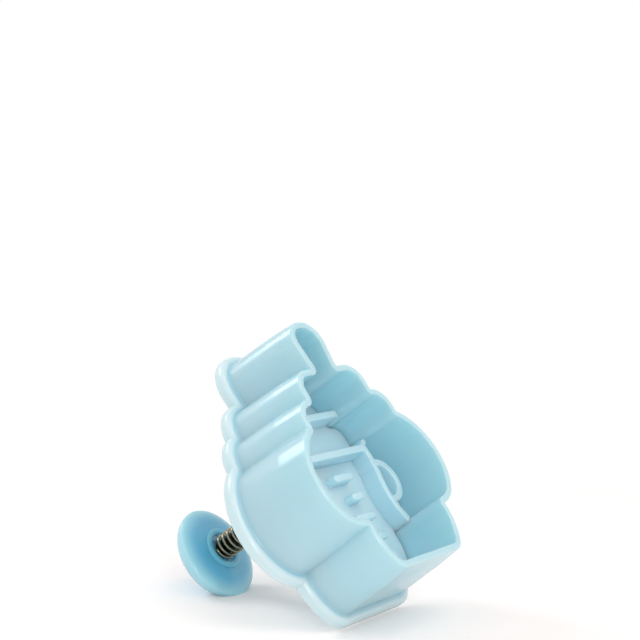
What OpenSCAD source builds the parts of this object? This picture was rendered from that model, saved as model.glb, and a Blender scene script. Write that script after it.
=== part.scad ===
// Plunger cutter in the shape of a two-handled baby bottle.
// Millimetres. The cutting edge stands on z = 0 and the push knob is on top.
// X runs across the bottle, Y runs from its base to its teat, and X = 0 is its middle.

/* [Bottle outline] */
// Height of the cut shape, from the base to the tip of the teat
cut_h = 63.5; // [58:0.5:72]
// Width of the teat at its widest
teat_w = 12.5; // [11.6:0.1:13.5]
// Radius of the teat's rounded shoulders
teat_r = 5.5; // [4.6:0.1:5.7]
// Radius of the flatter tip of the teat
teat_tip_r = 10; // [8:0.5:14]
// How far the teat's sides lean in towards the neck, in degrees
teat_lean = 8; // [3:1:10]
// Height of the upper collar's top above the base
cap_top = 50.9; // [49:0.1:53]
// Width of the upper collar
cap_w = 28.1; // [26:0.1:30]
// Radius of the upper collar's corners
cap_r = 5.4; // [3.5:0.1:6]
// Height of the lower collar's top above the base
ring_top = 43.5; // [42.5:0.1:45]
// Width of the lower collar
ring_w = 39.4; // [37:0.1:41]
// Radius of the lower collar's corners
ring_r = 5.4; // [3:0.1:6]
// Width of the cut shape over the two handles
cut_w = 56; // [54:0.5:60]
// Radius of each handle lobe
lobe_r = 14; // [13:0.1:15]
// Height of the handle lobes' middle above the base
lobe_mid = 23.9; // [23:0.1:25]
// Radius of the lower part of each lobe
lobe_low_r = 9.9; // [9:0.1:11]
// Radius of the base's sides
base_side_r = 13.9; // [12.5:0.1:15]
// Radius of the base's bottom corners
base_r = 3.9; // [3:0.1:5]
// Width of the flat along the base's bottom
base_flat = 23.4; // [22:0.1:25]
// Radius of the outline's inside corners
inside_r = 0.35; // [0.3:0.05:0.6]

/* [Housing] */
// Height of the housing, from the cutting edge to its back
house_h = 23.3; // [21.5:0.1:27]
// Thickness of the cutting wall at its edge
wall = 1.65; // [1.3:0.05:1.9]
// How much the wall grows outwards down to the flange, a moulding draft
draft = 1.2; // [0.3:0.1:1.6]
// How far the flange stands out past the cutting edge
flange_out = 3.4; // [2.8:0.1:4.5]
// Thickness of the flange
flange_t = 3.3; // [2.4:0.1:4]
// Bevel on the flange's two rims
flange_bevel = 0.9; // [0.3:0.1:1.1]
// Bevel on the cutting edge
edge_bevel = 0.4; // [0.1:0.05:0.6]
// Thickness of the housing's back
back_t = 2; // [1.6:0.1:2.6]
// Length of the guide for the plunger rod, with the back's thickness
guide_l = 4; // [3.4:0.1:4.6]
// Radius of the guide's boss
guide_r = 4.5; // [3.6:0.1:6]

/* [Stamp] */
// Depth of the stamp's face behind the cutting edge, at rest
stamp_depth = 14.9; // [13.5:0.1:15.1]
// Height of the raised lines on the stamp
relief_h = 4.7; // [3:0.1:5.5]
// Width of the raised lines
line_w = 1.8; // [1.4:0.1:2.2]
// Gap between the stamp and the cutting wall
stamp_gap = 0.4; // [0.3:0.05:0.6]
// Thickness of the stamp's face
stamp_t = 2; // [1.5:0.1:2.2]
// Thickness of the stamp's skirt and of the webs behind its face
skirt_t = 1.5; // [1:0.1:2]
// Radius of the boss that holds the plunger rod
boss_r = 4; // [3.3:0.1:5]
// Height of the middle of the rib under the collars, above the base
band_mid = 33.15; // [32:0.05:34]
// Length of that rib
band_l = 30; // [28:0.5:32]
// Half of the bottle's width at its waist
waist_in = 14.65; // [13.5:0.05:15.2]
// Half of the bottle's width where it bulges above the waist
waist_out = 15.8; // [15.3:0.05:16.5]
// Radius of a handle ring, to the middle of its line
handle_r = 4.9; // [4.2:0.1:5.2]
// Height of the handle rings' middle above the base
handle_mid = 23.8; // [23:0.1:25]
// Distance between two marks of the scale
mark_pitch = 5.35; // [4.6:0.05:5.5]
// Width of a scale mark
mark_w = 1.9; // [1.4:0.1:2.4]
// Height of the scale marks on the stamp
mark_h = 2.8; // [1.5:0.1:4]
// Length of a long scale mark
mark_long = 7.9; // [7:0.1:9]
// Length of a short scale mark
mark_short = 4.7; // [4:0.1:6]
// Distance of the scale from the bottle's middle
mark_side = 7.2; // [6:0.1:8]
// Height of the lowest mark above the base
mark_low = 6.35; // [5.6:0.05:7]

/* [Plunger and spring] */
// How far the plunger travels, which the closed spring ends. It sets the knob's height
travel = 13; // [10:0.5:13.5]
// Distance of the plunger's axis below the middle of the outline
axis_drop = 1.5; // [0:0.1:3]
// Diameter of the plunger rod
rod_d = 4; // [3.4:0.1:4.1]
// Room to slide between the rod and its guide, all round
rod_play = 0.05; // [0.02:0.01:0.1]
// Outer diameter of the spring
spring_d = 6.4; // [6.2:0.1:7]
// Diameter of the spring's wire
wire_d = 0.8; // [0.6:0.05:0.85]
// Number of turns of the spring
turns = 16; // [13:1:17]

/* [Knob] */
// Diameter of the push knob
knob_d = 23.4; // [20:0.1:28]
// Height of the knob
knob_h = 8; // [7.6:0.1:10]
// Height of the knob's widest place above its underside
knob_belly = 2.8; // [2.2:0.1:3.4]
// Radius of the raised ring round the spring's seat
seat_ring_r = 5.3; // [4.9:0.1:6.5]
// Height of that ring
seat_ring_h = 0.5; // [0.3:0.1:0.8]
// Diameter of the screw's thread
screw_d = 2.5; // [2:0.1:2.6]
// Length of the screw under its head
screw_l = 7; // [5:0.5:10]
// Diameter of the screw's head
head_d = 4.4; // [4:0.1:4.8]
// Diameter of the plug that hides the screw
plug_d = 5.8; // [5.6:0.1:6.5]

/* [Hidden] */
$fn = 64;
pale_blue = "#cfe3ea";
knob_blue = "#4fa0c6";
steel = "#c8ccce";
join = 0.01;
snug = 0.02;
clear = 0.3;
cut_over = 1;

// Levels along the axis, each worked out from the level that it seats on
back_in = house_h - back_t;
guide_low = house_h - guide_l;
flange_low = house_h - flange_t;
stamp_rest = 0.2;
skirt_top = back_in - stamp_rest;
face_back = stamp_depth + stamp_t;
boss_top = guide_low - clear;
stamp_in = wall + stamp_gap;
rod_r = rod_d / 2;
rod_skin = 1.1;
rod_low = stamp_depth + rod_skin;
spring_closed = (turns + 1) * wire_d;
spring_room = 0.4;
seat_sink = 0.4;
seat_z = house_h + spring_closed + travel + spring_room;
knob_low = seat_z - seat_sink - seat_ring_h;
seat_room = 0.6;
seat_r = spring_d / 2 + seat_room;
knob_top = knob_low + knob_h;
plug_t = 1.3;
plug_gap = 0.2;
head_h = 1;
web_t = 1.3;
plug_z = knob_top - plug_t;
head_z = plug_z - plug_gap - head_h;
rod_top = head_z - web_t;

// A direction outwards. Angles turn from +Y towards +X, as the outline does.
function dir(a) = [sin(a), cos(a)];
function angle_to(p, q) = atan2(q[0] - p[0], q[1] - p[1]);
function arc(c, r, a0, a1, n) = [for (i = [0:n]) c + r * dir(a0 + (a1 - a0) * i / n)];
function root(x) = sqrt(max(x, 0));
function grown(r, d) = max(r + d, 0.1);

// Round shapes that the outline runs along
base_y = -cut_h / 2;
tip_c = [0, base_y + cut_h - teat_tip_r];
tip_a = asin((teat_w / 2 - teat_r) / (teat_tip_r - teat_r));
teat_c = tip_c + (teat_tip_r - teat_r) * dir(tip_a);
teat_a = 90 + teat_lean;
cap_c = [cap_w / 2 - cap_r, base_y + cap_top - cap_r];
ring_c = [ring_w / 2 - ring_r, base_y + ring_top - ring_r];
lobe_c = [cut_w / 2 - lobe_r, base_y + lobe_mid];
lobe_low_a = 127;
lobe_low_c = lobe_c + (lobe_r - lobe_low_r) * dir(lobe_low_a);
base_side_a = 127;
base_c = [base_flat / 2, base_y + base_r];
side_c = base_c - (base_side_r - base_r) * dir(base_side_a);

// Middle of a circle of radius f in the inside corner between two round shoulders.
// The upper shoulder has middle u and radius ru, and a straight side below it at angle au.
// The lower one has middle l and radius rl, and a straight top before it at angle 0.
function corner(u, ru, au, l, rl, f) =
    let (nu = dir(au), tu = dir(au + 90), nl = dir(0), tl = dir(90))
    let (pu = u + (ru + f) * nu, pl = l + (rl + f) * nl)
    let (k = ((pl - pu) * nl) / (tu * nl), both_straight = pu + k * tu)
    let (w = pu - l, j = -w * tu - root((w * tu) * (w * tu) - w * w + (rl + f) * (rl + f)))
    k >= 0 && (l - both_straight) * tl >= 0 ? both_straight
    : j >= 0 ? pu + j * tu
    : touch(u, ru + f, l, rl + f);

// Where circles of radii p and q about u and l meet, on the outline's outer side
function touch(u, p, l, q) =
    let (e = (u - l) / norm(u - l), a = (q * q - p * p + norm(u - l) * norm(u - l)) / (2 * norm(u - l)))
    l + a * e + root(q * q - a * a) * [e[1], -e[0]];

// Angle at which the circle in a corner touches the shoulder above, and the one below
function leave(u, au, p) = (p - u) * dir(au + 90) >= 0 ? au : angle_to(u, p);
function meet(l, p) = (l - p) * dir(90) >= 0 ? 0 : angle_to(l, p);

// Right half of the outline, grown by d all round, from the teat's tip to the base, in five
// stretches that each end after an inside corner. Each inside corner has n steps. Each arc has
// as many points for every d, so that two outlines with the same n can be joined.
function stretches(d, n) =
    let (f = max(inside_r - d, inside_r))
    let (teat = grown(teat_r, d), cap = grown(cap_r, d), ring = grown(ring_r, d))
    let (lobe = lobe_r + d, low = lobe_low_r + d, side = base_side_r + d)
    let (p1 = corner(teat_c, teat, teat_a, cap_c, cap, f))
    let (p2 = corner(cap_c, cap, 90, ring_c, ring, f))
    let (p3 = corner(ring_c, ring, 90, lobe_c, lobe, f))
    let (p4 = touch(lobe_low_c, low + f, side_c, side + f))
    let (a1 = leave(teat_c, teat_a, p1), b1 = meet(cap_c, p1))
    let (a2 = leave(cap_c, 90, p2), b2 = meet(ring_c, p2))
    let (a3 = leave(ring_c, 90, p3), b3 = angle_to(lobe_c, p3))
    let (a4 = angle_to(lobe_low_c, p4), b4 = angle_to(side_c, p4))
    [
        concat(arc(tip_c, teat_tip_r + d, 0, tip_a, 2),
               arc(teat_c, teat, tip_a, a1, 10),
               arc(p1, -f, a1, b1, n)),
        concat(arc(cap_c, cap, b1, a2, 9),
               arc(p2, -f, a2, b2, n)),
        concat(arc(ring_c, ring, b2, a3, 9),
               arc(p3, -f, a3, b3, n)),
        concat(arc(lobe_c, lobe, b3, lobe_low_a, 12),
               arc(lobe_low_c, low, lobe_low_a, a4, 6),
               arc(p4, -f, a4, b4, n)),
        concat(arc(side_c, side, b4, base_side_a, 4),
               arc(base_c, grown(base_r, d), base_side_a, 180, 6))
    ];
function half_outline(d, n) = [for (part = stretches(d, n)) each part];

// Whole outline from its right half, closed by the mirror image
function mirrored(p) = [-p[0], p[1]];
function closed(h) = concat(h, [for (i = [len(h) - 1:-1:1]) mirrored(h[i])]);
function apart(p) = [for (i = [0:len(p) - 1])
    if (norm(p[(i + 1) % len(p)] - p[i]) > 0.001) p[i]];

module shape(d) {
    polygon(apart(closed(half_outline(d, 8))));
}

// Where on the middle line each stretch's fan of triangles starts, on a flat end
fan_y = [teat_c[1] - 1, cap_c[1] - 1, ring_c[1] - 1.3, lobe_c[1], base_c[1] + 2];

// Solid through a stack of outlines. Each level is [height, growth].
// Points that fall on their next one at every level are left out. The two flat ends are
// fans from a middle point for each stretch, because the outline has inside corners. The
// lower half of each inside corner goes to the stretch below, whose middle faces it.
module loft(levels) {
    bends = 3;
    halves = [for (l = levels) half_outline(l[1], bends)];
    parts = stretches(0, bends);
    corner_half = (bends + 1) / 2;
    part_of = [for (g = [0:len(parts) - 1]) for (i = [1:len(parts[g])])
        i > len(parts[g]) - corner_half ? min(g + 1, len(parts) - 1) : g];
    ends = len(part_of) - 1;
    kept = [for (i = [0:ends])
        if (i == ends || max([for (h = halves) norm(h[i + 1] - h[i])]) > 0.001) i];
    rings = [for (h = halves) closed([for (i = kept) h[i]])];
    m = len(kept);
    n = len(rings[0]);
    last = len(levels) - 1;
    hub = (last + 1) * n;
    g = len(fan_y);
    points = concat(
        [for (k = [0:last]) for (p = rings[k]) [p[0], p[1], levels[k][0]]],
        [for (k = [0, last]) for (y = fan_y) [0, y, levels[k][0]]]);
    sides = [for (k = [0:last - 1]) for (i = [0:n - 1])
        let (j = (i + 1) % n, a = k * n + i, b = k * n + j)
        each [[a, b, b + n], [a, b + n, a + n]]];
    fan = concat(
        [for (i = [0:m - 2])
            let (c = part_of[kept[i]], e = part_of[kept[i + 1]], q = (n - i) % n, r = n - i - 1)
            each concat([[-e - 1, i, i + 1], [-e - 1, r, q]],
                        c == e ? [] : [[-c - 1, i, -e - 1], [-c - 1, -e - 1, q]])],
        [[-g, m - 1, m]]);
    function placed(t, ring, c) = [for (i = t) i < 0 ? c - i - 1 : ring + i];
    low = [for (t = fan) let (f = placed(t, 0, hub)) [f[0], f[2], f[1]]];
    high = [for (t = fan) placed(t, last * n, hub + g)];
    polyhedron(points, concat(sides, low, high), convexity = 8);
}

module on_axis(z) {
    translate([0, -axis_drop, z])
        children();
}

// Cutting wall, flange, back and rod guide, moulded in one piece
module cutter_housing() color(pale_blue) {
    difference() {
        union() {
            difference() {
                loft([[0, -edge_bevel], [edge_bevel, 0], [flange_low, draft],
                      [flange_low, flange_out - flange_bevel],
                      [flange_low + flange_bevel, flange_out],
                      [house_h - flange_bevel, flange_out],
                      [house_h, flange_out - flange_bevel]]);
                translate([0, 0, -cut_over])
                    linear_extrude(back_in + cut_over)
                        shape(-wall);
            }
            on_axis(guide_low)
                cylinder(h = guide_l - back_t + join, r = guide_r);
        }
        on_axis(guide_low - cut_over)
            cylinder(h = guide_l + 2 * cut_over, r = rod_r + rod_play);
    }
}
cutter_housing();

// Line of width w along points, closed at its ends by flat cuts
module line(p, w) {
    last = len(p) - 1;
    side = [for (i = [0:last])
        let (t = p[min(i + 1, last)] - p[max(i - 1, 0)])
        w / 2 * [t[1], -t[0]] / norm(t)];
    polygon(concat([for (i = [0:last]) p[i] + side[i]],
                   [for (i = [last:-1:0]) p[i] - side[i]]));
}

module both_sides() {
    children();
    mirror([1, 0, 0])
        children();
}

// Bottle's side on the stamp: bulges out under the collars, draws in at the waist,
// and runs out again to the base. The two arcs meet smoothly.
band_y = base_y + band_mid;
bulge_drop = 3.3;
waist_drop = 12;
waist_r = 16;
foot_a = 52;
bulge_y = band_y - bulge_drop;
waist_y = band_y - waist_drop;
waist_c = [waist_in + waist_r, waist_y];
bulge_a = waist_c[0] - waist_out;
bulge_h = bulge_y - waist_y;
bulge_r = (bulge_h * bulge_h + bulge_a * bulge_a - waist_r * waist_r) / (2 * (waist_r - bulge_a));
bulge_c = [waist_out - bulge_r, bulge_y];
swap_a = angle_to(bulge_c, waist_c);
bottle_side = apart(concat(
    arc(bulge_c, bulge_r, 90 - asin((band_y - bulge_y) / bulge_r), swap_a, 6),
    arc(waist_c, -waist_r, swap_a, foot_a, 8)));

// Ear at each end of the rib under the collars, turned up along the lobe
module band_ear() {
    ear_w = 1.5;
    ear_reach = [1.7, 1.4];
    from = [band_l / 2, band_y];
    to = from + ear_reach;
    line([from, to], ear_w);
    translate(to)
        circle(d = ear_w);
}

// Open ring of a handle, closed by the bottle's side
module handle_ring(r) {
    ring_out = 1.9;
    ring_x = waist_in + ring_out;
    translate([ring_x, base_y + handle_mid]) {
        circle(r = r);
        translate([-ring_x + waist_in, -r])
            square([ring_x - waist_in, 2 * r]);
    }
}

// Bar of the scale with a round inner end
module mark(y, l) {
    translate([-mark_side, y - mark_w / 2])
        square([l - mark_w / 2, mark_w]);
    translate([l - mark_side - mark_w / 2, y])
        circle(d = mark_w);
}

// Raised lines, seen along the axis
module relief() {
    rib_drop = 0.3;
    top_rib_y = base_y + ring_top - rib_drop;
    intersection() {
        shape(-stamp_in);
        union() {
            translate([0, top_rib_y])
                square([cut_w, line_w], center = true);
            translate([0, band_y])
                square([band_l + line_w / 2, line_w], center = true);
            both_sides() {
                band_ear();
                line(bottle_side, line_w);
                difference() {
                    handle_ring(handle_r + line_w / 2);
                    handle_ring(handle_r - line_w / 2);
                }
            }
        }
    }
}

// Scale of five marks, long and short in turn
module scale_marks() {
    for (i = [0:4])
        mark(base_y + mark_low + i * mark_pitch, i % 2 == 0 ? mark_long : mark_short);
}

// Plate that pushes the dough out and prints the lines on it
module stamp_plate() color(pale_blue) {
    difference() {
        union() {
            translate([0, 0, stamp_depth])
                linear_extrude(stamp_t)
                    shape(-stamp_in);
            translate([0, 0, face_back - join])
                linear_extrude(skirt_top - face_back + join)
                    difference() {
                        shape(-stamp_in);
                        shape(-stamp_in - skirt_t);
                    }
            translate([0, 0, face_back - join])
                linear_extrude(boss_top - face_back + join)
                    intersection() {
                        shape(-stamp_in - skirt_t / 2);
                        union() {
                            square([skirt_t, 2 * cut_h], center = true);
                            translate([0, -axis_drop])
                                square([2 * cut_w, skirt_t], center = true);
                        }
                    }
            on_axis(face_back - join)
                cylinder(h = boss_top - face_back + join, r = boss_r);
            translate([0, 0, stamp_depth - relief_h])
                linear_extrude(relief_h + join)
                    relief();
            translate([0, 0, stamp_depth - mark_h])
                linear_extrude(mark_h + join)
                    scale_marks();
        }
        on_axis(rod_low - snug)
            cylinder(h = house_h, r = rod_r + snug);
    }
}
stamp_plate();

// Steel rod, chamfered at its foot and drilled at its top for the screw
module plunger_stem() color(steel) {
    chamfer = 0.4;
    rod_l = rod_top - snug - rod_low;
    pilot_l = screw_l - web_t + clear;
    on_axis(rod_low)
        difference() {
            union() {
                cylinder(h = chamfer, r1 = rod_r - chamfer, r2 = rod_r);
                translate([0, 0, chamfer])
                    cylinder(h = rod_l - chamfer, r = rod_r);
            }
            translate([0, 0, rod_l - pilot_l])
                cylinder(h = pilot_l + cut_over, d = screw_d + 2 * snug);
        }
}
plunger_stem();

// Spring wire: rings of points along a helix, square to the wire
wire_r = wire_d / 2;
coil_r = spring_d / 2 - wire_r;
foot_gap = 0.05;
head_gap = 0.15;
coil_z0 = house_h + foot_gap + wire_r;
coil_z1 = seat_z - head_gap - wire_r;
coil_pitch = (coil_z1 - coil_z0) / turns;
coil_steps = 8;
coil_sides = 6;
coil_slope = coil_pitch / (360 * coil_r * PI / 180);
function coil(a) = [coil_r * cos(a), coil_r * sin(a), coil_z0 + coil_pitch * a / 360];
function coil_ring(a) =
    let (out = [cos(a), sin(a), 0], t = [-sin(a), cos(a), coil_slope] / norm([1, coil_slope]))
    let (up = cross(out, t))
    [for (s = [0:coil_sides - 1])
        let (b = 360 * s / coil_sides)
        coil(a) + wire_r * (cos(b) * out + sin(b) * up)];

// Least distance between a turn and the next, measured on points of the wire's middle
coil_gap = min([for (a = [360 - 60:5:360 + 60]) norm(coil(a) - coil(0))]) - wire_d;
echo("least gap between two turns of the spring", coil_gap);

// Compression spring round the rod, one unbroken wire
module return_spring() color(steel) {
    rings = turns * coil_steps;
    n = coil_sides;
    points = [for (i = [0:rings]) each coil_ring(i * 360 / coil_steps)];
    sides = [for (i = [0:rings - 1]) for (s = [0:n - 1])
        let (j = (s + 1) % n, a = i * n + s, b = i * n + j)
        each [[a, b, b + n], [a, b + n, a + n]]];
    low = [for (s = [1:n - 2]) [0, s + 1, s]];
    top = rings * n;
    high = [for (s = [1:n - 2]) [top, top + s, top + s + 1]];
    on_axis(0)
        polyhedron(points, concat(sides, low, high), convexity = 20);
}
return_spring();

// Knob's outline from its underside to its top, a flattened ball
module knob_ball() {
    r = knob_d / 2;
    low = seat_ring_h;
    under = knob_belly - low;
    over = knob_h - knob_belly;
    plug_land = 0.3;
    top_r = plug_d / 2 + plug_land;
    lower = [for (a = [0:10:90]) [r * sin(a), low + under * (1 - cos(a))]];
    upper = [for (a = [80:-10:0]) [top_r + (r - top_r) * sin(a), knob_belly + over * cos(a)]];
    translate([0, 0, knob_low])
        rotate_extrude()
            polygon(concat(lower, upper, [[0, knob_h]]));
}

// Push knob with a seat for the spring, a socket for the rod and a bore for the screw
module push_knob() color(knob_blue) {
    on_axis(0)
        difference() {
            union() {
                knob_ball();
                translate([0, 0, knob_low])
                    cylinder(h = knob_belly, r = seat_ring_r);
            }
            translate([0, 0, knob_low - cut_over])
                cylinder(h = seat_z - knob_low + cut_over, r = seat_r);
            translate([0, 0, knob_low])
                cylinder(h = rod_top - knob_low, r = rod_r + snug);
            translate([0, 0, knob_low])
                cylinder(h = knob_h, d = screw_d + 2 * snug);
            translate([0, 0, head_z])
                cylinder(h = knob_h, d = head_d + clear);
            translate([0, 0, plug_z])
                cylinder(h = knob_h, d = plug_d + 2 * snug);
        }
}
push_knob();

// Self-tapping screw with a cross slot, down through the knob into the rod
module knob_screw() color(steel) {
    slot_w = 0.5;
    slot_l = 2.6;
    slot_t = 0.6;
    on_axis(head_z) {
        translate([0, 0, snug])
            difference() {
                cylinder(h = head_h, d = head_d);
                for (a = [0, 90])
                    rotate(a)
                        translate([-slot_l / 2, -slot_w / 2, head_h - slot_t])
                            cube([slot_l, slot_w, slot_t + cut_over]);
            }
        translate([0, 0, -screw_l])
            cylinder(h = screw_l + snug + join, d = screw_d);
    }
}
knob_screw();

// Plug pressed into the knob over the screw, level with the knob's top
module knob_plug() color(knob_blue) {
    on_axis(plug_z + snug)
        cylinder(h = plug_t - snug, d = plug_d);
}
knob_plug();
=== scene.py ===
import math

import bmesh
import bpy
from mathutils import Matrix, Vector


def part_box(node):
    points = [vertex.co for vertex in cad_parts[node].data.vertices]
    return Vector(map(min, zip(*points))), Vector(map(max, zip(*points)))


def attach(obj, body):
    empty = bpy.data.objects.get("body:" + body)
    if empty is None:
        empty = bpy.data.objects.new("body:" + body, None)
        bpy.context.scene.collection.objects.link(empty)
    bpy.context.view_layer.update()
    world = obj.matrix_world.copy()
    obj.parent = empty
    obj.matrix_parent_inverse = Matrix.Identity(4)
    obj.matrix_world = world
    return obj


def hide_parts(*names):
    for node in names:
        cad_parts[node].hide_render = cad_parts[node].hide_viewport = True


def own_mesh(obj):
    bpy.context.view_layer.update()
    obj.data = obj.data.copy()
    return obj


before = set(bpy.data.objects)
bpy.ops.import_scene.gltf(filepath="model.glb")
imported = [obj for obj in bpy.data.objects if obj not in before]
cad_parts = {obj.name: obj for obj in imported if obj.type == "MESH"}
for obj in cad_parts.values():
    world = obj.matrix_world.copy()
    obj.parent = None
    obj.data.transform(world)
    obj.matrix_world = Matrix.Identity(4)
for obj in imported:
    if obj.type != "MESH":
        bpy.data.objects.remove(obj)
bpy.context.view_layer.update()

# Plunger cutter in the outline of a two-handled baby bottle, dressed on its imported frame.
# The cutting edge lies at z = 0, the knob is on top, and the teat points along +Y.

MM = 0.001

# Outline of the cut shape, in millimetres and degrees. Tops and middles are above its base.
CUT_H = 63.5
CUT_W = 56
TEAT_W = 12.5
TEAT_R = 5.5
TEAT_TIP_R = 10
TEAT_LEAN = 8
CAP_TOP = 50.9
CAP_W = 28.1
CAP_R = 5.4
RING_TOP = 43.5
RING_W = 39.4
RING_R = 5.4
LOBE_R = 14
LOBE_MID = 23.9
LOBE_LOW_R = 9.9
LOBE_LOW_ANGLE = 127
BASE_SIDE_R = 13.9
BASE_SIDE_ANGLE = 127
BASE_R = 3.9
BASE_FLAT = 23.4
INSIDE_R = 0.35
LEAST_R = 0.1

# Housing. Its wall draws out by THIN_OUT over the first THIN_H from the edge, and then more
# slowly to DRAFT at the flange.
WALL = 1.65
THIN_H = 7.4
THIN_OUT = 0.66
DRAFT = 1.2
FLANGE_T = 3.3
BACK_T = 2
GUIDE_L = 4
GUIDE_R = 4.5
ROD_PLAY = 0.05

# Roundings of the housing: the rim's outside and inside, the wall's root, the flange, the floor
RIM_R = 0.5
RIM_IN_R = 0.3
ROOT_R = 0.5
FLANGE_R = 1.1
FLOOR_R = 0.5

# Stamp and the raised lines on its face
STAMP_GAP = 0.4
STAMP_T = 2
SKIRT_T = 1.5
BOSS_R = 4
SNUG = 0.02
RELIEF_H = 4.7
LINE_W = 1.8
BAND_MID = 33.15
BAND_L = 30
EAR_W = 1.5
WAIST_IN = 14.65
WAIST_OUT = 15.8
HANDLE_R = 4.9
HANDLE_MID = 23.8
MARKS = 5
MARK_PITCH = 5.35
MARK_W = 1.9
MARK_H = 2.8
MARK_LONG = 7.9
MARK_SHORT = 4.7
MARK_SIDE = 7.2
MARK_LOW = 6.35

# Spring and knob
WIRE_D = 0.8
TURNS = 16
KNOB_BELLY = 2.8
SEAT_RING_R = 5.3
SEAT_RING_H = 0.5
SEAT_SINK = 0.4
SEAT_ROOM = 0.6
PLUG_D = 5.8
PLUG_T = 1.3

# Points closer than this, in millimetres, become one point
WELD = 0.002


def corners_mm(node):
    """Lowest and highest corner of a CAD node, in millimetres."""
    low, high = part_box(node)
    return low / MM, high / MM


# Levels and radii that follow from the frame
HOUSE_H = corners_mm("cutter_housing")[1].z
FLANGE_OUT = corners_mm("cutter_housing")[1].x - CUT_W / 2
BACK_IN = HOUSE_H - BACK_T
STAMP_LOW, STAMP_HIGH = corners_mm("stamp_plate")
FACE = STAMP_LOW.z + RELIEF_H
KNOB_LOW, KNOB_HIGH = corners_mm("push_knob")
STEM_LOW, STEM_HIGH = corners_mm("plunger_stem")
SPRING_LOW, SPRING_HIGH = corners_mm("return_spring")
AXIS_Y = (STEM_LOW.y + STEM_HIGH.y) / 2
ROD_R = (STEM_HIGH.x - STEM_LOW.x) / 2

# Name of the housing's mesh attribute that is 1 on the flange, where a painted glow makes it paler
GLOW_MASK_NAME = "painted_flange_glow"

# Ground that the cutter lies on in the photograph, tilted against the frame. The cutter rests
# on its flange at the bottle's base and on the rim of its knob. In millimetres: half of the
# ground's side, its gap under the cutter, and where it starts and ends to fade out.
GROUND_UP = Vector((0, 0.7926, -0.6097))
GROUND_HALF = 300
GROUND_GAP = 0.05
FADE_START = 130
FADE_END = 240

# Camera in millimetres, its roll in degrees, and its lens in millimetres of a 36 mm sensor
CAMERA_PLACE = Vector((328.54, -70.63, -185.81))
CAMERA_AIM = Vector((-5.71, 30.42, -2.13))
CAMERA_ROLL = 2.08
LENS = 93.8
SENSOR = 36

# Square lamps, placed from the cutter's middle: millimetres to the right, up from the ground
# and towards the camera. Their sides are in metres and their powers in watts.
KEY_PLACE = (250, 600, 250)
KEY_SIDE = 0.5
KEY_POWER = 1.1
FRONT_PLACE = (114, 180, 564)
FRONT_SIDE = 0.15
FRONT_POWER = 0.8
WINDOW_PLACE = (-413, 376, -220)
WINDOW_SIDE = 0.25
WINDOW_POWER = 0.95

# Strength of the world as a light, where 1 is the white that is seen, and the glow that lifts
# the ground to white for the camera
AMBIENT = 0.68
GROUND_LIFT = 0.08

# Sockets of a colour Mix node, which share their names with its other sockets
SHARE = 0
COLOUR_A = 6
COLOUR_B = 7
MIXED = 2


# Outline: angles turn from +Y towards +X, in degrees

def direction(angle):
    turn = math.radians(angle)
    return Vector((math.sin(turn), math.cos(turn)))


def angle_to(start, end):
    return math.degrees(math.atan2(end.x - start.x, end.y - start.y))


def arc(centre, radius, start, end, steps):
    return [centre + radius * direction(start + (end - start) * i / steps) for i in range(steps + 1)]


BASE_Y = -CUT_H / 2
BAND_Y = BASE_Y + BAND_MID
TEAT_SIDE = 90 + TEAT_LEAN
TIP_C = Vector((0, -BASE_Y - TEAT_TIP_R))
TIP_ANGLE = math.degrees(math.asin((TEAT_W / 2 - TEAT_R) / (TEAT_TIP_R - TEAT_R)))
TEAT_C = TIP_C + (TEAT_TIP_R - TEAT_R) * direction(TIP_ANGLE)
CAP_C = Vector((CAP_W / 2 - CAP_R, BASE_Y + CAP_TOP - CAP_R))
RING_C = Vector((RING_W / 2 - RING_R, BASE_Y + RING_TOP - RING_R))
LOBE_C = Vector((CUT_W / 2 - LOBE_R, BASE_Y + LOBE_MID))
LOBE_LOW_C = LOBE_C + (LOBE_R - LOBE_LOW_R) * direction(LOBE_LOW_ANGLE)
BASE_C = Vector((BASE_FLAT / 2, BASE_Y + BASE_R))
SIDE_C = BASE_C - (BASE_SIDE_R - BASE_R) * direction(BASE_SIDE_ANGLE)


def touch(upper, upper_r, lower, lower_r):
    """Where two circles meet, on the outline's outer side."""
    gap = (upper - lower).length
    towards = (upper - lower) / gap
    along = (lower_r * lower_r - upper_r * upper_r + gap * gap) / (2 * gap)
    aside = math.sqrt(max(lower_r * lower_r - along * along, 0))
    return lower + along * towards + aside * Vector((towards.y, -towards.x))


def corner(upper, upper_r, side, lower, lower_r, fillet):
    """Middle of a fillet between two shoulders, or between the straights beside them."""
    along = direction(side + 90)
    start = upper + (upper_r + fillet) * direction(side)
    drop = (lower.y + lower_r + fillet - start.y) / along.y
    both_straight = start + drop * along
    if drop >= 0 and both_straight.x <= lower.x:
        return both_straight
    apart = start - lower
    ahead = apart.dot(along)
    inside = ahead * ahead - apart.dot(apart) + (lower_r + fillet) ** 2
    drop = -ahead - math.sqrt(max(inside, 0))
    if drop >= 0:
        return start + drop * along
    return touch(upper, upper_r + fillet, lower, lower_r + fillet)


def leave(upper, side, middle):
    """Angle at which the outline leaves a shoulder for the fillet below it."""
    on_straight = (middle - upper).dot(direction(side + 90)) >= 0
    return side if on_straight else angle_to(upper, middle)


def meet(lower, middle):
    """Angle at which the outline comes from a fillet to the shoulder below it."""
    return 0 if middle.x <= lower.x else angle_to(lower, middle)


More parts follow.
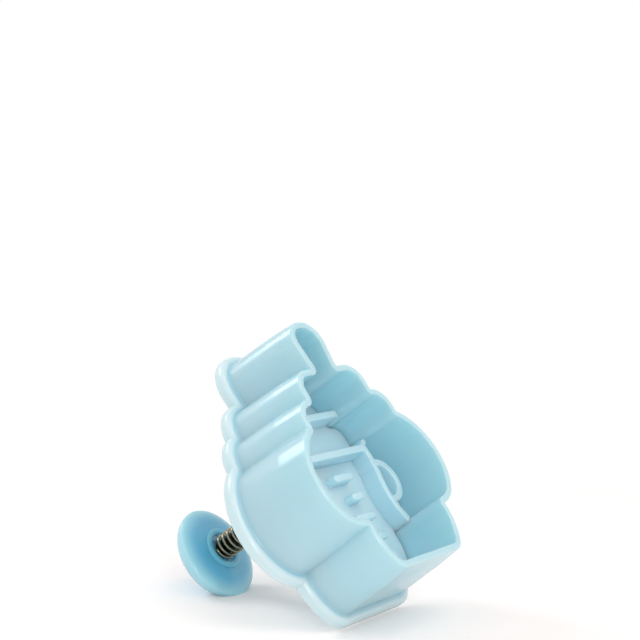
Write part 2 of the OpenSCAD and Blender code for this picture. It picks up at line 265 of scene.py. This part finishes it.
def half_outline(d):
    """Right half of the outline, grown by d all round, from the teat's tip to the base.

    Each arc has as many points for every d, so that two outlines can be joined.
    """
    fillet = max(INSIDE_R - d, INSIDE_R)
    teat_r = max(TEAT_R + d, LEAST_R)
    cap_r = max(CAP_R + d, LEAST_R)
    ring_r = max(RING_R + d, LEAST_R)
    base_r = max(BASE_R + d, LEAST_R)
    lobe_r = LOBE_R + d
    low_r = LOBE_LOW_R + d
    side_r = BASE_SIDE_R + d
    over_cap = corner(TEAT_C, teat_r, TEAT_SIDE, CAP_C, cap_r, fillet)
    over_ring = corner(CAP_C, cap_r, 90, RING_C, ring_r, fillet)
    over_lobe = corner(RING_C, ring_r, 90, LOBE_C, lobe_r, fillet)
    over_base = touch(LOBE_LOW_C, low_r + fillet, SIDE_C, side_r + fillet)
    teat_end = leave(TEAT_C, TEAT_SIDE, over_cap)
    cap_start = meet(CAP_C, over_cap)
    cap_end = leave(CAP_C, 90, over_ring)
    ring_start = meet(RING_C, over_ring)
    ring_end = leave(RING_C, 90, over_lobe)
    lobe_start = angle_to(LOBE_C, over_lobe)
    lobe_end = angle_to(LOBE_LOW_C, over_base)
    side_start = angle_to(SIDE_C, over_base)
    points = arc(TIP_C, TEAT_TIP_R + d, 0, TIP_ANGLE, 4)
    points += arc(TEAT_C, teat_r, TIP_ANGLE, teat_end, 20)
    points += arc(over_cap, -fillet, teat_end, cap_start, 10)
    points += arc(CAP_C, cap_r, cap_start, cap_end, 18)
    points += arc(over_ring, -fillet, cap_end, ring_start, 10)
    points += arc(RING_C, ring_r, ring_start, ring_end, 18)
    points += arc(over_lobe, -fillet, ring_end, lobe_start, 10)
    points += arc(LOBE_C, lobe_r, lobe_start, LOBE_LOW_ANGLE, 36)
    points += arc(LOBE_LOW_C, low_r, LOBE_LOW_ANGLE, lobe_end, 14)
    points += arc(over_base, -fillet, lobe_end, side_start, 10)
    points += arc(SIDE_C, side_r, side_start, BASE_SIDE_ANGLE, 10)
    points += arc(BASE_C, base_r, BASE_SIDE_ANGLE, 180, 14)
    return points


def mirrored(path):
    return [Vector((-p.x, p.y)) for p in path]


def outline(d):
    """Whole outline, closed by the mirror image of its right half."""
    half = half_outline(d)
    return half + mirrored(half[:0:-1])


# Meshes: made in millimetres, and turned to metres when they become objects

def ring(bm, points, z):
    return [bm.verts.new((p.x, p.y, z)) for p in points]


def stack(bm, rings):
    """Faces between closed rings with as many points each."""
    for lower, upper in zip(rings, rings[1:]):
        for i in range(len(lower)):
            j = (i + 1) % len(lower)
            bm.faces.new((lower[i], lower[j], upper[j], upper[i]))


def weld(bm):
    bmesh.ops.remove_doubles(bm, verts=bm.verts, dist=WELD)
    bmesh.ops.dissolve_degenerate(bm, edges=bm.edges, dist=WELD / 2)


def fill_flat(bm, z):
    """Fills between the open edges that lie at height z, and keeps the holes open."""
    near = 1e-4
    edges = [e for e in bm.edges if e.is_boundary and all(abs(v.co.z - z) < near for v in e.verts)]
    bmesh.ops.triangle_fill(bm, use_beauty=True, edges=edges)


def as_object(bm, name, sharp=40, y=0.0):
    """A smooth-shaded object in metres, moved along Y to its axis."""
    bmesh.ops.recalc_face_normals(bm, faces=bm.faces)
    for v in bm.verts:
        v.co = Vector((v.co.x, v.co.y + y, v.co.z)) * MM
    mesh = bpy.data.meshes.new(name)
    bm.to_mesh(mesh)
    bm.free()
    obj = bpy.data.objects.new(name, mesh)
    bpy.context.scene.collection.objects.link(obj)
    soften(obj, sharp)
    return obj


def soften(obj, sharp):
    """Smooth shading up to an angle in degrees, with a sharp edge round every level face."""
    level = 0.99999
    bm = bmesh.new()
    bm.from_mesh(obj.data)
    limit = math.radians(sharp)
    for face in bm.faces:
        face.smooth = True
    for edge in bm.edges:
        if len(edge.link_faces) == 2:
            flat = [abs(face.normal.z) > level for face in edge.link_faces]
            edge.smooth = flat[0] == flat[1] and edge.calc_face_angle(0) < limit
    bm.to_mesh(obj.data)
    bm.free()


def eased(section, near=0.06):
    """Adds a point just inside both ends of each long straight, so that its shading stays even."""
    points = [section[0]]
    for (a, b), (c, d) in zip(section, section[1:]):
        length = math.hypot(c - a, d - b)
        if length > 8 * near:
            for share in (near / length, 1 - near / length):
                points.append((a + (c - a) * share, b + (d - b) * share))
        points.append((c, d))
    return points


def rounded(centre_a, centre_b, radius, start, end, steps):
    """Points (a, b) on a rounding in a section, between two angles from the a axis."""
    turns = (math.radians(start + (end - start) * i / steps) for i in range(steps + 1))
    return [(centre_a + radius * math.cos(t), centre_b + radius * math.sin(t)) for t in turns]


def circle(radius, steps=96):
    turns = (2 * math.pi * i / steps for i in range(steps))
    return [Vector((radius * math.sin(t), radius * math.cos(t))) for t in turns]


def axis_rings(bm, section):
    """Rings round the plunger's axis, from a section of (radius, height)."""
    to_axis = Vector((0, AXIS_Y))
    return [ring(bm, [p + to_axis for p in circle(r)], z) for r, z in section]


def turned(name, profile, sharp=40, steps=96):
    """A turned piece on the plunger's axis, from a profile of (radius, height)."""
    bm = bmesh.new()
    stack(bm, [ring(bm, circle(max(r, 0), steps), z) for r, z in eased(profile)])
    weld(bm)
    return as_object(bm, name, sharp, AXIS_Y)


def unite(obj, others):
    """Joins other solids to obj and applies that to its mesh."""
    for other in others:
        step = obj.modifiers.new("solid", "BOOLEAN")
        step.operation = "UNION"
        step.solver = "MANIFOLD"
        step.object = other
        evaluated = obj.evaluated_get(bpy.context.evaluated_depsgraph_get())
        mesh = bpy.data.meshes.new_from_object(evaluated)
        obj.modifiers.clear()
        obj.data = mesh
        bpy.data.objects.remove(other)


# Housing

def housing_section():
    """Section of the housing as (growth of the outline, height).

    It runs from the back over the flange, down the wall, round the rim and up to the floor.
    """
    brow = FLANGE_OUT - FLANGE_R
    flange_low = HOUSE_H - FLANGE_T
    ledge, ease = 1.5, 0.5
    bend_h, bend_in = 0.3, 0.05
    section = [(brow - ledge, HOUSE_H), (brow - ease, HOUSE_H)]
    section += rounded(brow, HOUSE_H - FLANGE_R, FLANGE_R, 90, 0, 7)
    section += rounded(brow, flange_low + FLANGE_R, FLANGE_R, 0, -90, 7)
    section += rounded(DRAFT + ROOT_R, flange_low - ROOT_R, ROOT_R, 90, 180, 4)
    section += [(THIN_OUT, THIN_H + bend_h), (THIN_OUT - bend_in, THIN_H - bend_h)]
    section += rounded(-RIM_R, RIM_R, RIM_R, 0, -90, 6)
    section += rounded(-WALL + RIM_IN_R, RIM_IN_R, RIM_IN_R, -90, -180, 5)
    section += rounded(-WALL - FLOOR_R, BACK_IN - FLOOR_R, FLOOR_R, 0, 90, 4)
    return section


def guide_section():
    """Section of the rod guide as (radius, height): its bore, its end and its outside."""
    bevel = 0.3
    bore = ROD_R + ROD_PLAY
    low = HOUSE_H - GUIDE_L
    return [(bore, HOUSE_H), (bore, low), (GUIDE_R - bevel, low), (GUIDE_R, low + bevel),
            (GUIDE_R, BACK_IN)]


def cutter_housing():
    """Cutting wall with a rounded rim, flange with a full round, back, and rod guide."""
    past_root = 0.3
    flange_start = DRAFT + ROOT_R + past_root
    bm = bmesh.new()
    # The flange's points carry the mask of a painted glow: a paler tint for light coming through.
    glow_mask = bm.verts.layers.float.new(GLOW_MASK_NAME)
    rings = []
    for d, z in eased(housing_section()):
        rings.append(ring(bm, outline(d), z))
        for v in rings[-1]:
            v[glow_mask] = float(d > flange_start)
    stack(bm, rings)
    stack(bm, axis_rings(bm, guide_section()))
    weld(bm)
    fill_flat(bm, HOUSE_H)
    fill_flat(bm, BACK_IN)
    obj = as_object(bm, "housing_shell")
    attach(obj, "housing")
    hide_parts("cutter_housing")
    return obj


# Stamp

def stroke(name, path, width, round_ends, low, high):
    """A raised line along a path, with round or flat ends and a rounded top edge.

    round_ends says of its start and its end whether they are round. The line stands from low,
    which is sunk into its carrier, to high, which is nearer the cutting edge.
    """
    edge, draft = 0.35, 0.12
    section = [(draft, low)] + rounded(-edge, high + edge, edge, 0, -90, 4)
    bm = bmesh.new()
    rings = []
    for grow, z in eased(section):
        left, head, right, tail = stroke_sides(path, width / 2 + grow, round_ends, grow)
        rings.append(ring(bm, left + head + right[::-1] + tail, z))
    stack(bm, rings)
    for level in (rings[0], rings[-1]):
        cap(bm, level, len(left), len(head))
    return as_object(bm, name)


def stroke_sides(path, half, round_ends, grow):
    """Points of a stroke's left side, its end, its right side and its start."""
    head = (path[-1] - path[-2]).normalized()
    tail = (path[0] - path[1]).normalized()
    middle = list(path)
    if not round_ends[0]:
        middle[0] = path[0] + grow * tail
    if not round_ends[1]:
        middle[-1] = path[-1] + grow * head
    sides = []
    for i in range(len(path)):
        along = (path[min(i + 1, len(path) - 1)] - path[max(i - 1, 0)]).normalized()
        sides.append(half * Vector((-along.y, along.x)))
    left = [p + aside for p, aside in zip(middle, sides)]
    right = [p - aside for p, aside in zip(middle, sides)]
    return (left, stroke_end(path[-1], head, half) if round_ends[1] else [],
            right, stroke_end(path[0], tail, half) if round_ends[0] else [])


def stroke_end(p, out, half, steps=10):
    """Half circle round the end of a stroke that leaves along out."""
    aside = Vector((-out.y, out.x))
    turns = (math.pi * i / steps for i in range(1, steps))
    return [p + half * (math.cos(t) * aside + math.sin(t) * out) for t in turns]


def cap(bm, level, count, head):
    """Closes a stroke's level: a strip between its sides, and a face on each round end."""
    right = [level[2 * count + head - 1 - i] for i in range(count)]
    for i in range(count - 1):
        bm.faces.new((level[i], level[i + 1], right[i + 1], right[i]))
    if head:
        bm.faces.new(level[count - 1:count + head + 1])
    if len(level) > 2 * count + head:
        bm.faces.new(level[2 * count + head - 1:] + [level[0]])


def bottle_side():
    """The bottle's side: bulges under the collars, draws in at the waist, runs out to the base."""
    waist_r, foot_angle = 16, 58
    bulge_drop, waist_drop = 3.3, 12
    bulge_y, waist_y = BAND_Y - bulge_drop, BAND_Y - waist_drop
    waist_c = Vector((WAIST_IN + waist_r, waist_y))
    reach = waist_c.x - WAIST_OUT
    rise = bulge_y - waist_y
    bulge_r = (rise * rise + reach * reach - waist_r * waist_r) / (2 * (waist_r - reach))
    bulge_c = Vector((WAIST_OUT - bulge_r, bulge_y))
    swap = angle_to(bulge_c, waist_c)
    start = 90 - math.degrees(math.asin((BAND_Y - bulge_y) / bulge_r))
    bulge = arc(bulge_c, bulge_r, start, swap, 12)
    return bulge[:-1] + arc(waist_c, -waist_r, swap, foot_angle, 14)


def handle_path():
    """Half ring of a handle, closed by the bottle's side."""
    stand_off = 1.9
    inner = Vector((WAIST_IN, BASE_Y + HANDLE_MID))
    centre = inner + Vector((stand_off, 0))
    up = Vector((0, HANDLE_R))
    return [inner + up] + arc(centre, HANDLE_R, 0, 180, 30) + [inner - up]


def ear_path():
    """Small ear at an end of the band, a short slanted stroke."""
    overlap, drop, reach, rise = 0.6, 0.3, 1.7, 1.4
    end = BAND_L / 2
    return [Vector((end - overlap, BAND_Y - drop)), Vector((end + reach, BAND_Y + rise))]


def level_path(start_x, end_x, y):
    return [Vector((start_x, y)), Vector((end_x, y))]


def relief():
    """All raised lines. Their tops differ by a hair where they cross, so that no two faces agree."""
    flat_ends, both_round = (False, False), (True, True)
    hair, sink, rib_drop, proud = 0.01, 0.6, 0.3, 0.05
    top, foot = STAMP_LOW.z, FACE + sink
    rib_y = BASE_Y + RING_TOP - rib_drop
    rib_end = CAP_W / 2 - WALL - STAMP_GAP + proud
    rib = level_path(-rib_end, rib_end, rib_y)
    band = level_path(-BAND_L / 2, BAND_L / 2, BAND_Y)
    solids = [
        stroke("top_rib", rib, LINE_W, flat_ends, foot, top),
        stroke("band", band, LINE_W, flat_ends, foot, top + hair),
    ]
    # The right side as it is drawn, and then its mirror image
    for placed in (list, mirrored):
        side = placed(bottle_side())
        solids.append(stroke("side", side, LINE_W, (True, False), foot, top + 2 * hair))
        handle = placed(handle_path())
        solids.append(stroke("handle", handle, LINE_W, flat_ends, foot, top + 3 * hair))
        ear = placed(ear_path())
        solids.append(stroke("ear", ear, EAR_W, both_round, foot, top + 4 * hair))
    for i in range(MARKS):
        y = BASE_Y + MARK_LOW + i * MARK_PITCH
        reach = MARK_LONG if i % 2 == 0 else MARK_SHORT
        mark = level_path(-MARK_SIDE, reach - MARK_SIDE - MARK_W / 2, y)
        solids.append(stroke("mark", mark, MARK_W, (False, True), foot, FACE - MARK_H))
    return solids


def stamp_plate():
    """Ejector plate with its skirt and boss, and the raised lines on its face."""
    edge, clear = 0.3, 0.3
    inset = WALL + STAMP_GAP
    back = FACE + STAMP_T
    skirt_top = STAMP_HIGH.z
    boss_top = HOUSE_H - GUIDE_L - clear
    socket_z = STEM_LOW.z - SNUG
    section = rounded(-inset - edge, FACE + edge, edge, -90, 0, 4)
    section += [(-inset, skirt_top), (-inset - SKIRT_T, skirt_top), (-inset - SKIRT_T, back)]
    boss = [(BOSS_R, back), (BOSS_R, boss_top), (ROD_R + SNUG, boss_top), (ROD_R + SNUG, socket_z),
            (0, socket_z)]
    bm = bmesh.new()
    stack(bm, [ring(bm, outline(d), z) for d, z in eased(section)])
    stack(bm, axis_rings(bm, boss))
    weld(bm)
    fill_flat(bm, FACE)
    fill_flat(bm, back)
    obj = as_object(bm, "stamp")
    unite(obj, relief())
    soften(obj, 35)
    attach(obj, "plunger")
    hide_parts("stamp_plate")
    return obj


# Rod and spring

def plunger_stem():
    """Plain steel rod with a chamfer at both ends."""
    chamfer = 0.4
    low, high = STEM_LOW.z, STEM_HIGH.z
    profile = [(0, low), (ROD_R - chamfer, low), (ROD_R, low + chamfer), (ROD_R, high - chamfer),
               (ROD_R - chamfer, high), (0, high)]
    obj = turned("rod", profile, 30)
    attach(obj, "plunger")
    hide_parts("plunger_stem")
    return obj


def coil_heights(steps):
    """Share of the spring's height at each step of its turns. Its first and last turn lie closer."""
    end_pitch = 0.62
    total, heights = 0.0, [0.0]
    for i in range(steps):
        turn = (i + 0.5) / steps * TURNS
        from_end = min(turn, TURNS - turn, 1)
        total += end_pitch + (1 - end_pitch) * from_end
        heights.append(total)
    return [h / total for h in heights]


def return_spring():
    """One unbroken wire, wound round the rod."""
    per_turn, sides, wire_r = 32, 12, WIRE_D / 2
    coil_r = (SPRING_HIGH.x - SPRING_LOW.x) / 2 - wire_r
    start_z, end_z = SPRING_LOW.z + wire_r, SPRING_HIGH.z - wire_r
    up = Vector((0, 0, 1))
    bm = bmesh.new()
    rings = []
    for i, share in enumerate(coil_heights(TURNS * per_turn)):
        turn = 2 * math.pi * i / per_turn
        out = Vector((math.cos(turn), math.sin(turn), 0))
        middle = out * coil_r + up * (start_z + (end_z - start_z) * share)
        around = (2 * math.pi * s / sides for s in range(sides))
        spots = [middle + wire_r * (out * math.cos(a) + up * math.sin(a)) for a in around]
        rings.append([bm.verts.new(spot) for spot in spots])
    stack(bm, rings)
    bm.faces.new(rings[0])
    bm.faces.new(rings[-1])
    obj = as_object(bm, "spring", 60, AXIS_Y)
    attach(obj, "housing")
    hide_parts("return_spring")
    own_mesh(obj)
    return obj


# Knob and plug

def knob_profile():
    """Profile of the knob as (radius, height), from its rod socket round to its plug's hole."""
    low, high = KNOB_LOW.z, KNOB_HIGH.z
    lip, ring_foot, groove, steps = 0.45, 0.05, 0.3, 24
    knob_r = (KNOB_HIGH.x - KNOB_LOW.x) / 2
    belly = low + KNOB_BELLY
    under = KNOB_BELLY - SEAT_RING_H
    socket_r, socket_z = ROD_R + SNUG, STEM_HIGH.z + SNUG
    seat_r = (SPRING_HIGH.x - SPRING_LOW.x) / 2 + SEAT_ROOM
    seat_z = low + SEAT_RING_H + SEAT_SINK
    hole_r, hole_z = PLUG_D / 2 + SNUG, high - PLUG_T
    brow_r, brow_z, hole_top = PLUG_D / 2 + 0.1, high - 0.02, high - 0.12
    top_r = PLUG_D / 2 + groove
    profile = [(0, socket_z), (socket_r, socket_z), (socket_r, seat_z), (seat_r, seat_z)]
    profile += rounded(seat_r + lip, low + lip, lip, 180, 270, 4)
    profile += rounded(SEAT_RING_R - lip, low + lip, lip, 270, 360, 4)
    start = math.asin((SEAT_RING_R + ring_foot) / knob_r)
    for i in range(steps + 1):
        turn = start + (math.pi / 2 - start) * i / steps
        profile.append((knob_r * math.sin(turn), belly - under * math.cos(turn)))
    for i in range(1, steps + 1):
        turn = math.pi / 2 * (1 - i / steps)
        r = top_r + (knob_r - top_r) * math.sin(turn)
        profile.append((r, belly + (high - belly) * math.cos(turn)))
    profile += [(brow_r, brow_z), (hole_r, hole_top), (hole_r, hole_z), (0, hole_z)]
    return profile


def push_knob():
    """Flattened ball with a raised ring round the spring's seat, and a groove round its plug."""
    obj = turned("knob", knob_profile(), 40, 128)
    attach(obj, "plunger")
    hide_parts("push_knob")
    return obj


def knob_plug():
    """Flat cap with a rounded edge that hides the screw."""
    edge = 0.2
    low, high = corners_mm("knob_plug")
    plug_r = (high.x - low.x) / 2
    profile = [(0, low.z), (plug_r, low.z)]
    profile += rounded(plug_r - edge, high.z - edge, edge, 0, 90, 4) + [(0, high.z)]
    obj = turned("plug", profile)
    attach(obj, "plunger")
    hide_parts("knob_plug")
    return obj


# Materials

def linear(hex_colour):
    """Linear RGBA of an sRGB hex value."""
    channels = [int(hex_colour[i:i + 2], 16) / 255 for i in (1, 3, 5)]
    return [c / 12.92 if c <= 0.04045 else ((c + 0.055) / 1.055) ** 2.4 for c in channels] + [1]


def per_mm(size):
    """Scale of a pattern whose features are about size millimetres wide."""
    return 1 / (size * MM)


def add(tree, kind, inputs=None, **settings):
    """A node of that kind with its settings. Each input is a socket to link, or a value."""
    node = tree.nodes.new(kind)
    for name, value in settings.items():
        setattr(node, name, value)
    for name, value in (inputs or {}).items():
        if isinstance(value, bpy.types.NodeSocket):
            tree.links.new(value, node.inputs[name])
        else:
            node.inputs[name].default_value = value
    return node


def new_material(name):
    material = bpy.data.materials.new(name)
    material.use_nodes = True
    tree = material.node_tree
    tree.nodes.clear()
    return material, tree


def flange_glow_share(tree, _place):
    """Share of the painted glow: 1 on the flange and 0 elsewhere, as the housing's mesh says."""
    return add(tree, "ShaderNodeAttribute", attribute_name=GLOW_MASK_NAME).outputs["Fac"]


def rim_glow_share(tree, place):
    """Painted glow: 0 in the knob's thick middle and 1 at its rim, by the distance from its axis."""
    middle_r, rim_r = 7.5, 11.6
    from_axis = add(tree, "ShaderNodeVectorMath", {0: place, 1: (0, AXIS_Y * MM, 0)},
                    operation="SUBTRACT")
    flat = add(tree, "ShaderNodeVectorMath", {0: from_axis.outputs[0], 1: (1, 1, 0)},
               operation="MULTIPLY")
    radius = add(tree, "ShaderNodeVectorMath", {0: flat.outputs[0]}, operation="LENGTH")
    share = add(tree, "ShaderNodeMapRange",
                {"Value": radius.outputs["Value"], "From Min": middle_r * MM, "From Max": rim_r * MM},
                interpolation_type="SMOOTHSTEP")
    return share.outputs[0]


def abs_plastic(name, colour, shade, roughness, depth_mm, grain_mm, grain, glow_mask=None, glow_tint=None):
    """Injection-moulded ABS: an even gloss with a faint flow mottle and a slightly wavy skin.

    Light enters it a little, which keeps its shadows coloured. Where the mask gives 1, a paler
    tint is painted in: a painted glow of light coming through it.
    """
    flow_mm, gloss_range = 18, 0.04
    material, tree = new_material(name)
    place = add(tree, "ShaderNodeTexCoord").outputs["Object"]
    flow = add(tree, "ShaderNodeTexNoise",
               {"Vector": place, "Scale": per_mm(flow_mm), "Detail": 2, "Roughness": 0.5})
    tint = add(tree, "ShaderNodeMix",
               {SHARE: flow.outputs[0], COLOUR_A: linear(colour), COLOUR_B: linear(shade)},
               data_type="RGBA").outputs[MIXED]
    # Painted glow: a paler tint where the mask gives 1, for light coming through the plastic.
    if glow_mask:
        tint = add(tree, "ShaderNodeMix",
                   {SHARE: glow_mask(tree, place), COLOUR_A: tint, COLOUR_B: linear(glow_tint)},
                   data_type="RGBA").outputs[MIXED]
    skin = add(tree, "ShaderNodeTexNoise",
               {"Vector": place, "Scale": per_mm(grain_mm), "Detail": 3, "Roughness": 0.55})
    gloss = add(tree, "ShaderNodeMapRange",
                {"Value": skin.outputs[0], "To Min": roughness - gloss_range,
                 "To Max": roughness + gloss_range})
    bump = add(tree, "ShaderNodeBump",
               {"Height": skin.outputs[0], "Strength": grain, "Distance": 0.05 * MM})
    shader = add(tree, "ShaderNodeBsdfPrincipled",
                 {"Base Color": tint, "Roughness": gloss.outputs[0], "IOR": 1.53,
                  "Normal": bump.outputs["Normal"], "Subsurface Weight": 0.8,
                  "Subsurface Radius": (0.6, 0.95, 1.0), "Subsurface Scale": depth_mm * MM})
    add(tree, "ShaderNodeOutputMaterial", {"Surface": shader.outputs[0]})
    return material


def housing_abs():
    """Pale blue ABS, polished in the mould. Its flange is painted paler, for light coming through."""
    return abs_plastic("pale_blue_moulded_abs", colour="#b5d5df", shade="#acd0db", roughness=0.18,
                       depth_mm=6, grain_mm=1.2, grain=0.02, glow_mask=flange_glow_share, glow_tint="#c9dce1")


def stamp_abs():
    """Pale blue ABS with a satin skin, from a mould with a finer finish."""
    # Painted light: its tint is lighter than the housing's, to make up for the shade inside the
    # housing.
    return abs_plastic("satin_blue_abs_painted_lighter", colour="#c6e4ef", shade="#bddfeb",
                       roughness=0.2, depth_mm=4, grain_mm=0.6, grain=0.03)


def knob_abs():
    """Mid blue ABS, glossy. Its rim is painted paler, for light falling on it and coming through."""
    return abs_plastic("mid_blue_abs_painted_rim_glow", colour="#74c6e2", shade="#6cc0de", roughness=0.12,
                       depth_mm=5, grain_mm=1.2, grain=0.02, glow_mask=rim_glow_share, glow_tint="#a8d5e1")


def drawn_steel():
    """Stainless rod, drawn through a die: fine lines along it and a soft straight highlight.

    Real die lines are finer than 0.12 mm. They are drawn as coarse as that so that they show.
    """
    material, tree = new_material("drawn_stainless_steel")
    place = add(tree, "ShaderNodeTexCoord").outputs["Object"]
    stretch = add(tree, "ShaderNodeMapping", {"Vector": place, "Scale": (1, 1, 0.02)})
    lines = add(tree, "ShaderNodeTexNoise",
                {"Vector": stretch.outputs[0], "Scale": per_mm(0.12), "Detail": 2})
    rough = add(tree, "ShaderNodeMapRange", {"Value": lines.outputs[0], "To Min": 0.24, "To Max": 0.42})
    bump = add(tree, "ShaderNodeBump",
               {"Height": lines.outputs[0], "Strength": 0.15, "Distance": 0.01 * MM})
    shader = add(tree, "ShaderNodeBsdfPrincipled",
                 # Painted shade: near-black olive for stainless steel, for the dark inside the spring
                 # between its coils.
                 {"Base Color": linear("#38362c"), "Roughness": rough.outputs[0], "Metallic": 1,
                  "Normal": bump.outputs["Normal"]})
    add(tree, "ShaderNodeOutputMaterial", {"Surface": shader.outputs[0]})
    return material


def spring_wire():
    """Nickel-plated spring wire in painted shade, with a warm oily stain here and there."""
    material, tree = new_material("nickel_plated_spring_wire")
    place = add(tree, "ShaderNodeTexCoord").outputs["Object"]
    stain = add(tree, "ShaderNodeTexNoise", {"Vector": place, "Scale": per_mm(2.5), "Detail": 3})
    # Painted shade: both tints are darker than bright nickel, for the dark that the real wire reflects.
    # The stain's patches are random.
    tint = add(tree, "ShaderNodeMix",
               {SHARE: stain.outputs[0], COLOUR_A: linear("#aaa38e"), COLOUR_B: linear("#736b55")},
               data_type="RGBA")
    rough = add(tree, "ShaderNodeMapRange", {"Value": stain.outputs[0], "To Min": 0.08, "To Max": 0.2})
    shader = add(tree, "ShaderNodeBsdfPrincipled",
                 {"Base Color": tint.outputs[MIXED], "Roughness": rough.outputs[0], "Metallic": 1})
    add(tree, "ShaderNodeOutputMaterial", {"Surface": shader.outputs[0]})
    return material


def zinc_plate():
    """Zinc-plated screw: dull blue-grey with a fine crystal mottle."""
    material, tree = new_material("zinc_plated_steel")
    place = add(tree, "ShaderNodeTexCoord").outputs["Object"]
    mottle = add(tree, "ShaderNodeTexNoise", {"Vector": place, "Scale": per_mm(0.6), "Detail": 3})
    rough = add(tree, "ShaderNodeMapRange", {"Value": mottle.outputs[0], "To Min": 0.3, "To Max": 0.5})
    shader = add(tree, "ShaderNodeBsdfPrincipled",
                 {"Base Color": linear("#b9bdc4"), "Roughness": rough.outputs[0], "Metallic": 1})
    add(tree, "ShaderNodeOutputMaterial", {"Surface": shader.outputs[0]})
    return material


def paint(obj, material):
    obj.data.materials.clear()
    obj.data.materials.append(material)


# Studio

def ground_basis():
    """Right, up and towards the camera, along the ground of the photograph."""
    towards = CAMERA_PLACE - CAMERA_AIM
    towards = (towards - towards.dot(GROUND_UP) * GROUND_UP).normalized()
    return GROUND_UP.cross(towards).normalized(), GROUND_UP.normalized(), towards


def look(obj, place, aim, up, roll=0.0):
    """Puts obj at a place in millimetres, so that its -Z points at aim."""
    back = (place - aim).normalized()
    right = up.cross(back).normalized()
    turn = Matrix.Rotation(math.radians(roll), 3, back)
    axes = turn @ Matrix((right, back.cross(right), back)).transposed()
    obj.matrix_world = Matrix.Translation(place * MM) @ axes.to_4x4()


def camera():
    data = bpy.data.cameras.new("camera")
    data.lens = LENS
    data.sensor_width = SENSOR
    data.clip_start = 0.01
    data.clip_end = 10
    obj = bpy.data.objects.new("camera", data)
    bpy.context.scene.collection.objects.link(obj)
    look(obj, CAMERA_PLACE, CAMERA_AIM, GROUND_UP, CAMERA_ROLL)
    bpy.context.scene.camera = obj


def ground():
    """White ground that only shows from above, keeps the shadow, and fades out round it."""
    right, up, towards = ground_basis()
    rest = Vector((0, corners_mm("cutter_housing")[0].y, HOUSE_H)) - GROUND_UP * GROUND_GAP
    quarters = ((-1, -1), (-1, 1), (1, 1), (1, -1))
    corners = [(rest + GROUND_HALF * (x * right + y * towards)) * MM for x, y in quarters]
    mesh = bpy.data.meshes.new("ground")
    mesh.from_pydata([tuple(c) for c in corners], [], [(0, 1, 2, 3)])
    obj = bpy.data.objects.new("ground", mesh)
    bpy.context.scene.collection.objects.link(obj)
    if mesh.polygons[0].normal.dot(up) < 0:
        mesh.flip_normals()
    paint(obj, ground_paper())


def ground_paper():
    """White paper, lifted to white where the camera sees it, and clear from below and far away."""
    material, tree = new_material("white_paper_ground")
    side = add(tree, "ShaderNodeNewGeometry")
    path = add(tree, "ShaderNodeLightPath")
    place = add(tree, "ShaderNodeTexCoord").outputs["Object"]
    away = add(tree, "ShaderNodeVectorMath", {"Vector": place}, operation="LENGTH")
    fade = add(tree, "ShaderNodeMapRange",
               {"Value": away.outputs["Value"], "From Min": FADE_START * MM, "From Max": FADE_END * MM},
               interpolation_type="SMOOTHSTEP")
    clear_share = add(tree, "ShaderNodeMath", {0: fade.outputs[0], 1: side.outputs["Backfacing"]},
                      operation="MAXIMUM")
    paper = add(tree, "ShaderNodeBsdfDiffuse", {"Color": linear("#fff9f7")})
    lift = add(tree, "ShaderNodeMath", {0: path.outputs["Is Camera Ray"], 1: GROUND_LIFT},
               operation="MULTIPLY")
    glow = add(tree, "ShaderNodeEmission", {"Strength": lift.outputs[0]})
    both = add(tree, "ShaderNodeAddShader", {0: paper.outputs[0], 1: glow.outputs[0]})
    clear = add(tree, "ShaderNodeBsdfTransparent")
    pick = add(tree, "ShaderNodeMixShader",
               {0: clear_share.outputs[0], 1: both.outputs[0], 2: clear.outputs[0]})
    add(tree, "ShaderNodeOutputMaterial", {"Surface": pick.outputs[0]})
    return material


def backdrop():
    """World that shows white behind the cutter and in its gloss, and lights it softly."""
    world = bpy.data.worlds.new("studio")
    bpy.context.scene.world = world
    world.use_nodes = True
    tree = world.node_tree
    tree.nodes.clear()
    rays = add(tree, "ShaderNodeLightPath").outputs
    seen = add(tree, "ShaderNodeMath", {0: rays["Is Camera Ray"], 1: rays["Is Glossy Ray"]},
               operation="MAXIMUM")
    any_seen = add(tree, "ShaderNodeMath", {0: seen.outputs[0], 1: rays["Is Transmission Ray"]},
                   operation="MAXIMUM")
    strength = add(tree, "ShaderNodeMapRange",
                   {"Value": any_seen.outputs[0], "To Min": AMBIENT, "To Max": 1})
    sky = add(tree, "ShaderNodeBackground",
              {"Strength": strength.outputs[0], "Color": linear("#ffffff")})
    add(tree, "ShaderNodeOutputWorld", {"Surface": sky.outputs[0]})


def softbox(name, place, side, power):
    """A square lamp that looks at the cutter's middle."""
    right, up, towards = ground_basis()
    data = bpy.data.lights.new(name, "AREA")
    data.shape = "SQUARE"
    data.size = side
    data.energy = power
    obj = bpy.data.objects.new(name, data)
    bpy.context.scene.collection.objects.link(obj)
    middle = Vector((0, 0, HOUSE_H))
    look(obj, middle + place[0] * right + place[1] * up + place[2] * towards, middle, up)


def studio():
    camera()
    ground()
    backdrop()
    softbox("key", KEY_PLACE, KEY_SIDE, KEY_POWER)
    softbox("front", FRONT_PLACE, FRONT_SIDE, FRONT_POWER)
    softbox("window", WINDOW_PLACE, WINDOW_SIDE, WINDOW_POWER)
    bpy.context.scene.view_settings.view_transform = "Standard"


def main():
    blue = knob_abs()
    paint(cutter_housing(), housing_abs())
    paint(stamp_plate(), stamp_abs())
    paint(push_knob(), blue)
    paint(knob_plug(), blue)
    paint(plunger_stem(), drawn_steel())
    paint(return_spring(), spring_wire())
    paint(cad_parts["knob_screw"], zinc_plate())
    studio()


main()
